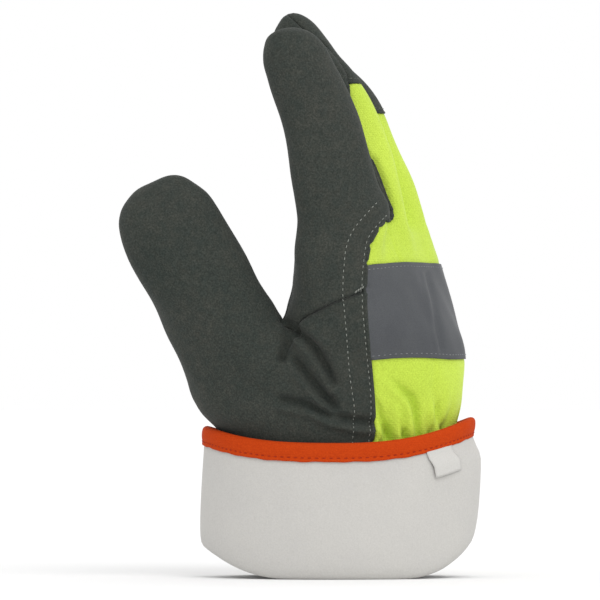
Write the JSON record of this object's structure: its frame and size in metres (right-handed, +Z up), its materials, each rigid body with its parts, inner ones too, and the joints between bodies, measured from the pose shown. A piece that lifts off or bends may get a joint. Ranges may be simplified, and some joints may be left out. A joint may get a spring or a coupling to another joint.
{
  "type": "work glove",
  "caption": "Winter work glove, right hand: dark leather palm, thumb and index finger, hi-vis yellow back with reflective tape, white cuff turned up to show its orange bound hem.",
  "frame": {"origin": "on the surface the glove stands on, under the middle of its bounding box", "axes": "+Z up to the fingertips, +X towards the back of the hand, -X the palm, -Y the thumb side that the picture is taken from"},
  "size_m": [0.1597, 0.0967, 0.2481],
  "materials": {
    "leather": "suede-like matt",
    "hi_vis_fabric": "fluorescent woven",
    "reflective_tape": "retroreflective, satin",
    "cuff_fabric": "brushed matt",
    "binding": "woven tape",
    "label": "satin ribbon, bare"
  },
  "bodies": {
    "root": {"palm_panel": "leather", "thumb_panel": "leather", "index_finger": "leather", "middle_front": "leather", "ring_front": "leather", "middle_cap": "leather", "ring_cap": "leather", "little_cap": "leather", "back_panel": "hi_vis_fabric", "reflective_tape": "reflective_tape", "cuff": "cuff_fabric", "cuff_binding": "binding", "label": "label"}
  },
  "joints": []
}
